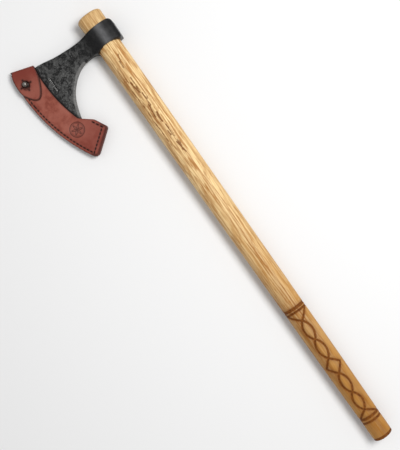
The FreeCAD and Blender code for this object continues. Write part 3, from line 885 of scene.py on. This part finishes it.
def bent(z, outward):
    """A sheet that lies flat at height z and bends round the toe towards the fold's middle."""
    def place(flat, height):
        along, inwards = toe_place(flat)
        turned = np.clip((BEND - inwards) / BEND_MIDDLE, 0, math.pi / 2)
        wall = np.clip(BEND - QUARTER - inwards, 0, None)
        reach = BEND_MIDDLE + height
        new_in = np.where(inwards >= BEND, inwards, BEND - reach * np.sin(turned))
        depth = reach * np.cos(turned) - BEND_MIDDLE - wall
        new_z = np.where(inwards >= BEND, z + outward * height, z + outward * depth)
        return np.column_stack([flat_place(along, new_in), new_z])
    return place


def stitch_line():
    """The holes that the stitches run between, read from the thread, in order."""
    raw, faces = node_mesh("sheath_thread")
    keys = {}
    index = np.array([keys.setdefault(tuple(p), len(keys)) for p in np.round(raw, 6)])
    parent = np.arange(len(keys))

    def root(i):
        while parent[i] != i:
            parent[i] = parent[parent[i]]
            i = parent[i]
        return i

    for a, b, c in index[faces]:
        parent[root(a)] = root(b)
        parent[root(b)] = root(c)
    islands = {}
    points = to_axe(raw)
    for i, key in enumerate(index):
        islands.setdefault(root(key), []).append(i)
    found = []
    for members in islands.values():        # the leg through the leather, then its far end
        own = points[members]
        leg = own[np.abs(own[:, 2]) < 3.6][:, :2]
        if len(leg) < 3:
            leg = own[:, :2]
        start = (leg.min(0) + leg.max(0)) / 2
        away = own[:, :2] - start
        far = away[np.argmax((away ** 2).sum(1))]
        found.append((start, start + far))
    return found


stitches = stitch_line()


def stitch_gap(flat):
    return np.min([to_segments(flat, np.array(stitch), closed=False) for stitch in stitches], 0)


def near_stitches(flat):
    """Which points lie within NEAR_STITCH of a stitch."""
    ends = np.reshape(stitches, (-1, 2))
    possible = ((flat > ends.min(0) - NEAR_STITCH) & (flat < ends.max(0) + NEAR_STITCH)).all(1)
    result = np.zeros(len(flat), bool)
    result[possible] = stitch_gap(flat[possible]) < NEAR_STITCH
    return result


def rosette(flat):
    """A plain round stamp: two rings and a six-petalled rosette of arcs."""
    radius = from_point(flat, STAMP)
    mark = smoothstep(1.05, 0.45, np.abs(radius - STAMP_RADIUS))
    mark = np.maximum(mark, 0.8 * smoothstep(0.55, 0.2, np.abs(radius - STAMP_RADIUS + 2.1)))
    petal = STAMP_RADIUS - 3.2
    for step in range(6):
        angle = math.radians(60 * step + 12)
        centre = STAMP + petal * np.array([math.cos(angle), math.sin(angle)])
        arc = np.abs(from_point(flat, centre) - petal)
        mark = np.maximum(mark, smoothstep(0.95, 0.35, arc) * (radius < petal + 0.2))
    dish = 0.35 * smoothstep(STAMP_RADIUS, STAMP_RADIUS - 1.2, radius)
    return np.clip(mark, 0, 1), dish


def hex_grid(low, high, spacing):
    rows = np.arange(low[1], high[1], spacing * 0.866)
    columns = np.arange(low[0], high[0], spacing)
    grid = [np.stack([columns + (spacing / 2) * (k % 2), np.full(len(columns), y)], 1)
            for k, y in enumerate(rows)]
    return np.concatenate(grid)


def sheet_mesh(loop, holes, place, fine, coarse=1.7, dense=0.55, rounded=0.95, cap=None,
               relief=None):
    """A closed sheet of leather with rounded edges, from its flat outline.

    fine says which flat points need the dense mesh, and relief how deep its outer face is cut.
    cap says which outline points lie on a cut that butts against another sheet and stays square.
    Returns the points, the faces, and for each point its flat place and its height in the sheet.
    """
    borders = [loop] + [hole[::-1] if signed_area(hole) > 0 else hole for hole in holes]
    angles = np.linspace(0, np.pi / 2, 5)
    insets = rounded * (1 - np.sin(angles))
    drops = rounded * (1 - np.cos(angles))
    levels = [(i, HALF - d) for i, d in zip(insets, drops)]
    levels += [(i, d - HALF) for i, d in zip(insets[::-1], drops[::-1])]
    flat_rows, heights, faces = [], [], []
    tops, bottoms, total = [], [], 0
    for number, border in enumerate(borders):
        run = np.roll(border, -1, 0) - np.roll(border, 1, 0)
        run /= np.linalg.norm(run, axis=1)[:, None]
        inward = np.stack([-run[:, 1], run[:, 0]], 1)
        share = np.ones(len(border))
        if cap is not None and number == 0:
            share[cap] = 0.0
        for inset, height in levels:
            flat_rows.append(border + inward * (inset * share)[:, None])
            heights.append(np.full(len(border), height))
        rings = total + np.arange(len(levels) * len(border)).reshape(len(levels), -1)
        total += rings.size
        tops.append(rings[0])
        bottoms.append(rings[-1])
        faces += tube(rings)
    every = np.concatenate(flat_rows)
    rims = [every[t] for t in tops]
    low, high = rims[0].min(0), rims[0].max(0)
    grid, small = hex_grid(low, high, coarse), hex_grid(low, high, dense)
    grid = np.concatenate([grid[~fine(grid)], small[fine(small)]])
    grid = grid[within(grid, rims)]
    off = np.min([to_segments(grid, rim) for rim in rims], 0)
    grid = grid[off > np.where(fine(grid), 0.7 * dense, 0.5 * coarse)]
    flat = np.concatenate(rims + [grid])
    edges, start = [], 0
    for rim in rims:
        edges += [(start + i, start + (i + 1) % len(rim)) for i in range(len(rim))]
        start += len(rim)
    made = geometry.delaunay_2d_cdt([Vector(p) for p in flat], edges, [], 0, 1e-5)
    where = np.array([list(v) for v in made[0]])
    triangles = np.array([list(f) for f in made[2]])
    triangles = triangles[within(where[triangles].mean(1), rims)]
    top_of, bottom_of = {}, {}
    rim_top, rim_bottom = np.concatenate(tops), np.concatenate(bottoms)
    new_flat, new_height = [], []
    for out, sources in enumerate(made[3]):
        ring = [k for k in sources if k < len(rim_top)]
        if ring:
            top_of[out], bottom_of[out] = rim_top[ring[0]], rim_bottom[ring[0]]
        else:
            top_of[out] = total + len(new_flat)
            bottom_of[out] = total + len(new_flat) + 1
            new_flat += [where[out], where[out]]
            new_height += [HALF, -HALF]
    for a, b, c in triangles:
        faces.append((top_of[a], top_of[b], top_of[c]))
        faces.append((bottom_of[c], bottom_of[b], bottom_of[a]))
    flat = np.concatenate([every, np.array(new_flat)]) if new_flat else every
    height = np.concatenate(heights + [np.array(new_height)])
    shape = height.copy()
    outer = height > HALF - 0.3
    if relief is not None:
        shape[outer] -= relief(flat[outer])
    return place(flat, shape), faces, flat, height


def edge_burnish(flat, height, loop, holes, cap=None):
    """How dark each point is from burnishing, and how far it is from an edge."""
    edge = loop if cap is None else np.delete(loop, cap, 0)
    gap = np.min([to_segments(flat, edge, closed=cap is None)]
                 + [to_segments(flat, hole) for hole in holes], 0)
    band = smoothstep(1.9, 0.2, gap)
    side = smoothstep(HALF - 0.15, HALF - 0.9, np.abs(height)) * smoothstep(1.2, 0.3, gap)
    return np.clip(0.62 * band + 0.5 * side, 0, 1), gap


def waves(flat, size, seed):
    """The leather's slight unevenness, from 0 to 0.2 mm."""
    return 0.10 * (1 + ripple(np.column_stack([flat, np.zeros(len(flat))]), (size,) * 3, seed))


def heel_band(flat, gap):
    """The wide dark border round the heel side of the sheath, outside the stitches."""
    run = unit(HEEL_LINE[1] - HEEL_LINE[0])
    off = np.abs((flat - HEEL_LINE[0]) @ (-run[1], run[0]))
    along = (flat - HEEL_LINE[0]) @ run
    return smoothstep(5.0, 3.6, gap) * smoothstep(22, 9, off) * smoothstep(-9, 0, along)


def panel_relief(with_stamp):
    def relief(flat):
        gap = stitch_gap(flat)
        drop = GROOVE_DEPTH * smoothstep(GROOVE_HALF, 0.35, gap)
        for start, _ in stitches:
            drop = np.maximum(drop, smoothstep(HOLE_MARK, 0.35, from_point(flat, start)))
        if with_stamp:
            mark, dish = rosette(flat)
            drop = np.maximum(drop, 0.42 * mark + 0.18 * dish)
        return drop + waves(flat, 24, 2.2)
    return relief


tongue_outline = even_loop(outlines("flap_tongue", TONGUE_Z)[0], 1.1, 2)
stud_skin = to_axe(node_mesh("stud")[0])
stud_low, stud_top = stud_skin.min(0), stud_skin.max(0)
stud_place = ((stud_low + stud_top) / 2)[:2]


def build_front():
    def fine(flat):
        return near_stitches(flat) | (from_point(flat, STAMP) < STAMP_RADIUS + 1.3)

    loop = even_loop(outlines("sheath_front", FRONT_Z)[0], 1.25)
    points, faces, flat, height = sheet_mesh(
        loop, [], level(FRONT_Z, 1), fine, relief=panel_relief(True))
    burnish_and_shade, gap = edge_burnish(flat, height, loop, [])
    burnish_and_shade = np.maximum(burnish_and_shade, 0.95 * heel_band(flat, gap))
    mark, dish = rosette(flat)
    # the stitch groove's dark band: compressed leather, widened with painted shade in the groove
    groove = smoothstep(2.1, 0.7, stitch_gap(flat))
    inwards = toe_place(flat)[1]
    # painted shadow along the tongue's outline, where the flap's lifted edge shades the panel, and painted shade
    # round the stud where the strap's hole shows the panel
    tongue_shadow = smoothstep(2.3, 0.9, to_segments(flat, tongue_outline)) * smoothstep(12, 17, inwards)
    hole_shade = smoothstep(8.6, 7.2, from_point(flat, stud_place))
    pressed_and_shade = np.max([0.97 * groove, 0.80 * mark, 0.25 * dish, 0.97 * tongue_shadow, 0.95 * hole_shade], 0)
    pressed_and_shade = np.where(height > 0, pressed_and_shade, 0.4 * groove)
    heel = smoothstep(75, 12, to_segments(flat, HEEL_LINE, False))
    deep = 0.30 * smoothstep(60, 15, inwards) + 0.62 * heel
    fields = {"burnish_and_shade": burnish_and_shade, "pressed_and_shade": pressed_and_shade, "deep": deep}
    piece = make_piece("sheath_face", points, faces, leather, fields)
    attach(piece, "sheath")
    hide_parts("sheath_front")


def extended(loop, ends, reach):
    """The flat outline with its toe end carried on, round the bend, to the fold's middle.

    Returns it with the numbers of its points on the cut there.
    """
    at_toe = toe_place(loop)[1] < toe_place(loop)[1].min() + 0.35
    start = int(np.argmax(at_toe & ~np.roll(at_toe, 1)))
    body = np.roll(loop, -start, 0)[int(at_toe.sum()):]
    first_along, last_along = toe_place(body[[-1, 0]])[0]
    a0, a1 = ends if first_along < last_along else ends[::-1]
    steps = np.linspace(0, 1, 9)[1:]

    def side(corner, along, end):
        start = toe_place(corner)[1]
        return flat_place(along + (end - along) * smoothstep(0, 0.7, steps),
                          start + (reach - start) * steps)

    side_0 = side(body[-1], first_along, a0)
    side_1 = side(body[0], last_along, a1)[::-1]
    cut = flat_place(np.linspace(a0, a1, 38)[1:-1], np.full(36, reach))
    first_cap = len(body) + len(side_0) - 1
    cap = np.arange(first_cap, first_cap + len(cut) + 2)
    return np.concatenate([body, side_0, cut, side_1]), cap


FOLD_REACH = BEND - QUARTER - WALL
FOLD_ENDS = (0.3, TOE_LENGTH - 0.3)


def near_bend(flat):
    return toe_place(flat)[1] < BEND + 2.5


def build_back():
    outline = even_loop(outlines("sheath_back", BACK_Z)[0], 1.25)
    loop, cap = extended(outline, FOLD_ENDS, FOLD_REACH)

    def fine(flat):
        return near_stitches(flat) | near_bend(flat)

    points, faces, flat, height = sheet_mesh(
        loop, [], bent(BACK_Z, -1), fine, dense=0.7, relief=panel_relief(False), cap=cap)
    burnish_and_shade, gap = edge_burnish(flat, height, loop, [], cap=cap)
    # the stitch groove's dark band: compressed leather, widened with painted shade in the groove
    groove = smoothstep(2.1, 0.7, stitch_gap(flat))
    burnish_and_shade = np.maximum(burnish_and_shade, 0.85 * heel_band(flat, gap))
    deep = 0.75 * smoothstep(60, 0, toe_place(flat)[1])
    fields = {"burnish_and_shade": burnish_and_shade, "pressed_and_shade": 0.7 * groove, "deep": deep}
    return make_piece("sheath_wrap", points, faces, leather, fields)


def build_tongue():
    hole = even_loop(outlines("flap_tongue", TONGUE_Z)[1], 0.5)
    loop, cap = extended(tongue_outline, FOLD_ENDS, FOLD_REACH)
    middle = (hole.min(0) + hole.max(0)) / 2

    def fine(flat):
        return near_bend(flat) | (from_point(flat, middle) < 14)

    def relief(flat):
        gap = to_segments(flat, loop)
        line = 0.28 * smoothstep(0.8, 0.2, np.abs(gap - 2.6)) * (toe_place(flat)[1] > 14)
        swell = 0.125 * smoothstep(5.5, 0.6, to_segments(flat, hole))
        return line + waves(flat, 19, 7.9) - swell - 0.25 * smoothstep(7, 1.5, gap) + 0.12

    points, faces, flat, height = sheet_mesh(
        loop, [hole], bent(TONGUE_Z, 1), fine, dense=0.75, relief=relief, cap=cap, rounded=0.8)
    burnish_and_shade, gap = edge_burnish(flat, height, loop, [hole], cap=cap)
    inwards = toe_place(flat)[1]
    deep = np.clip(0.62 * smoothstep(46, 4, inwards) + 0.26, 0, 1)
    # the tongue's edge darker still: edge dye, and painted shade along its lifted edge
    burnish_and_shade = np.maximum(burnish_and_shade, 0.95 * smoothstep(2.1, 0.8, gap) * smoothstep(8, 14, inwards))
    near_hole = smoothstep(4.5, 0.3, to_segments(flat, hole))
    fields = {"burnish_and_shade": burnish_and_shade, "pressed_and_shade": 0.45 * near_hole, "deep": deep}
    return make_piece("flap_strap", points, faces, leather, fields)


def build_welt():
    outline = even_loop(outlines("sheath_welt", 0.0)[0], 1.6)
    points, faces, flat, height = sheet_mesh(
        outline, [], level(0.0, 1), lambda flat: flat[:, 0] < 0, coarse=2.6, rounded=0.7)
    points[:, 2] *= WELT_HALF / HALF
    burnish_and_shade, gap = edge_burnish(flat, height, outline, [])
    burnish_and_shade = np.maximum(burnish_and_shade, 0.9 * smoothstep(2.5, 0.5, gap))
    blank = np.zeros(len(points))
    fields = {"burnish_and_shade": burnish_and_shade, "pressed_and_shade": blank, "deep": blank + 0.5}
    piece = make_piece("sheath_spacer", points, faces, leather, fields)
    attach(piece, "sheath")
    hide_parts("sheath_welt")


build_front()
sheath_wrap = build_back()
flap_strap = build_tongue()
build_welt()


def toe_point(inwards, z):
    """A point at the middle of the toe line, in the row frame."""
    return tuple(to_row([*flat_place(TOE_LENGTH / 2, inwards)[0], z]))


toe_point(3.9, BACK_Z)
toe_point(1.0, FOLD_MIDDLE_Z - 2.4)
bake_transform(sheath_wrap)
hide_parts("sheath_back", "flap_fold")
toe_point(1.0, FOLD_MIDDLE_Z + 2.4)
toe_point(3.9, TONGUE_Z)
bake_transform(flap_strap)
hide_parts("flap_tongue")

# ---- thread, stud and screw

THREAD_RADIUS = 0.72
THREAD_TOP = 0.22               # how far the thread stands above the leather


def build_thread():
    angles = 2 * math.pi * np.arange(12) / 12
    shares = np.arange(16) / 15
    points, faces = [], []
    rng = np.random.default_rng(11)
    for start, end in stitches:
        length = float(np.linalg.norm(end - start))
        run = (end - start) / length
        left = np.array([-run[1], run[0]])
        for outward, z in ((1, FRONT_Z + HALF), (-1, BACK_Z - HALF)):
            first = len(points)
            drift = rng.uniform(-0.10, 0.10, 2)
            for share in shares:
                arch = math.sin(math.pi * share) ** 0.5
                middle = start + run * (0.25 + (length - 0.45) * share)
                middle = middle + left * (drift[0] + (drift[1] - drift[0]) * share)
                centre = THREAD_TOP - THREAD_RADIUS - 0.75 * (1 - arch)
                radius = THREAD_RADIUS * (0.62 + 0.38 * arch)
                radius = radius * (1 + 0.13 * np.cos(2 * angles + share * length * 2.6))
                flat = middle + np.outer(radius * np.sin(angles), left)
                up = z + outward * (centre + radius * np.cos(angles))
                points += np.column_stack([flat, up]).tolist()
            rings = np.arange(first, len(points)).reshape(len(shares), -1)
            faces += tube(rings) + [rings[0][::-1], rings[-1]]
    piece = make_piece("stitching", np.array(points), faces, linen, None, 60)
    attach(piece, "sheath")
    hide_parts("sheath_thread")


def build_stud():
    bottom, ball, neck = stud_low[2], 4.7, 2.55
    centre = stud_top[2] - ball
    profile = [(4.6, 0.0), (4.95, 0.15), (5.0, 0.4), (4.85, 0.65), (4.4, 0.8),
               (3.3, 0.95), (2.75, 1.3)]
    profile += [(neck, 1.3 + step * 0.45) for step in range(1, 5)]
    profile = [(radius, bottom + up) for radius, up in profile]
    profile += [(ball * math.sin(a), centre - ball * math.cos(a))
                for a in np.linspace(math.asin(neck / ball), math.pi, 34)[:-1]]
    sides = 56
    angles = 2 * math.pi * np.arange(sides) / sides
    points = [(*stud_place, bottom)]
    for radius, z in profile:
        radius *= 1 - 0.012 * smoothstep(0.6, 1.0, (z - centre) / ball)     # a worn crown
        points += zip(stud_place[0] + radius * np.cos(angles),
                      stud_place[1] + radius * np.sin(angles), [z] * sides)
    points = np.array([*points, (*stud_place, stud_top[2])])
    rings = np.arange(1, len(points) - 1).reshape(-1, sides)
    faces = tube(rings)
    for pole, ring in ((0, rings[0][::-1]), (len(points) - 1, rings[-1])):
        faces += zip(ring, np.roll(ring, -1), [pole] * sides)
    # the foot: where the painted shade in the strap's hole goes
    fields = {"foot": smoothstep(bottom + 5.0, bottom + 3.2, points[:, 2])}
    piece = make_piece("ball_stud", points, faces, nickel, fields, 50)
    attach(piece, "sheath")
    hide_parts("stud")


build_thread()
build_stud()


def screw_material():
    """The screw keeps its CAD mesh, so its material reads object coordinates."""
    s = Shade("screw_steel")
    place = s.add("ShaderNodeTexCoord").outputs["Object"]
    s.rest = s.vector("MULTIPLY", place, (1 / MM,) * 3)
    turned = s.noise(0.8, 4, 0.65)
    spots = s.noise(2.2, 3)
    s.color = s.mix(s.span(turned, 0.35, 0.7), (0.42, 0.40, 0.36), (0.25, 0.23, 0.20))
    s.paint(s.span(spots, 0.5, 0.75, 0.0, 0.6), (0.12, 0.09, 0.07))
    return s.finish(s.span(turned, 0.2, 0.8, 0.28, 0.5), s.height(turned, 0.03, 0.4), Metallic=0.95)


screw = frame["nodes"]["stud_screw"]
screw.data.materials.clear()
screw.data.materials.append(screw_material())
for slot in screw.material_slots:
    slot.material = screw.data.materials[0]

# ---- stage, light and camera


def build_floor():
    corners = 6.0 * np.array([(-1, -1, 0), (1, -1, 0), (1, 1, 0), (-1, 1, 0)])
    mesh = new_mesh("floor", corners, [range(4)])
    floor = add_object("floor", mesh)
    s = Shade("pale_floor")
    paper = s.add("ShaderNodeTexNoise", {"Scale": 3.0}).outputs["Fac"]
    grey = s.add("ShaderNodeMapRange", {"Value": paper, "To Min": 0.78, "To Max": 0.81}).outputs[0]
    tint = s.add("ShaderNodeCombineColor", {"Red": grey, "Green": grey, "Blue": grey}).outputs[0]
    s.tree.links.new(tint, s.shader.inputs["Base Color"])
    s.shader.inputs["Roughness"].default_value = 0.9
    s.shader.inputs["Specular IOR Level"].default_value = 0.1
    mesh.materials.append(s.material)


build_floor()

VIEW_POINT = to_row(np.array([495.5, 51.9, 0.0]))
CAMERA_HEIGHT = 1.45            # m
LENS = 64.8                     # mm
flat_x = unit([AXIS_X[0], AXIS_X[1], 0.0])
flat_y = unit([-flat_x[1], flat_x[0], 0.0])
LEAN = (0.57600, 0.81745)       # how far the haft runs across and up the picture
camera_right = -LEAN[0] * flat_x - LEAN[1] * flat_y
camera_up = LEAN[1] * flat_x - LEAN[0] * flat_y


def aim(target, location, up):
    """Place an object so that its -Z looks down a direction with a given up."""
    back = Vector(unit(np.array(location) - np.array(target)))
    right = Vector(up).cross(back).normalized()
    true_up = back.cross(right)
    rows = [[right[i], true_up[i], back[i], location[i]] for i in range(3)]
    return Matrix(rows + [[0, 0, 0, 1]])


camera_data = bpy.data.cameras.new("camera")
camera_data.lens = LENS
camera_data.sensor_width = 36.0
camera_data.clip_start = 0.05
camera_data.clip_end = 50.0
camera = add_object("camera", camera_data)
camera.matrix_world = aim(
    (VIEW_POINT[0], VIEW_POINT[1], 0.0),
    (VIEW_POINT[0], VIEW_POINT[1], VIEW_POINT[2] + CAMERA_HEIGHT), camera_up)
bpy.context.scene.camera = camera


def area_light(name, offset, size, power):
    """A soft square light, placed in the camera's right, up and height directions."""
    data = bpy.data.lights.new(name, "AREA")
    data.shape = "SQUARE"
    data.size = size
    data.energy = power
    location = camera_right * offset[0] + camera_up * offset[1] + np.array([0, 0, offset[2]])
    add_object(name, data).matrix_world = aim((0.0, 0.0, 0.0), location, (0.3, 1.0, 0.1))


area_light("key", (0.80, 0.60, 1.9), 0.85, 38.0)
area_light("fill", (-1.3, 0.2, 1.6), 1.8, 3.0)
area_light("rim", (0.2, -1.5, 1.2), 1.2, 2.0)

world = bpy.data.worlds.new("studio")
bpy.context.scene.world = world
world.use_nodes = True
background = world.node_tree.nodes["Background"]
background.inputs["Color"].default_value = (1.0, 1.0, 1.0, 1.0)
background.inputs["Strength"].default_value = 0.42
bpy.context.scene.view_settings.view_transform = "Standard"
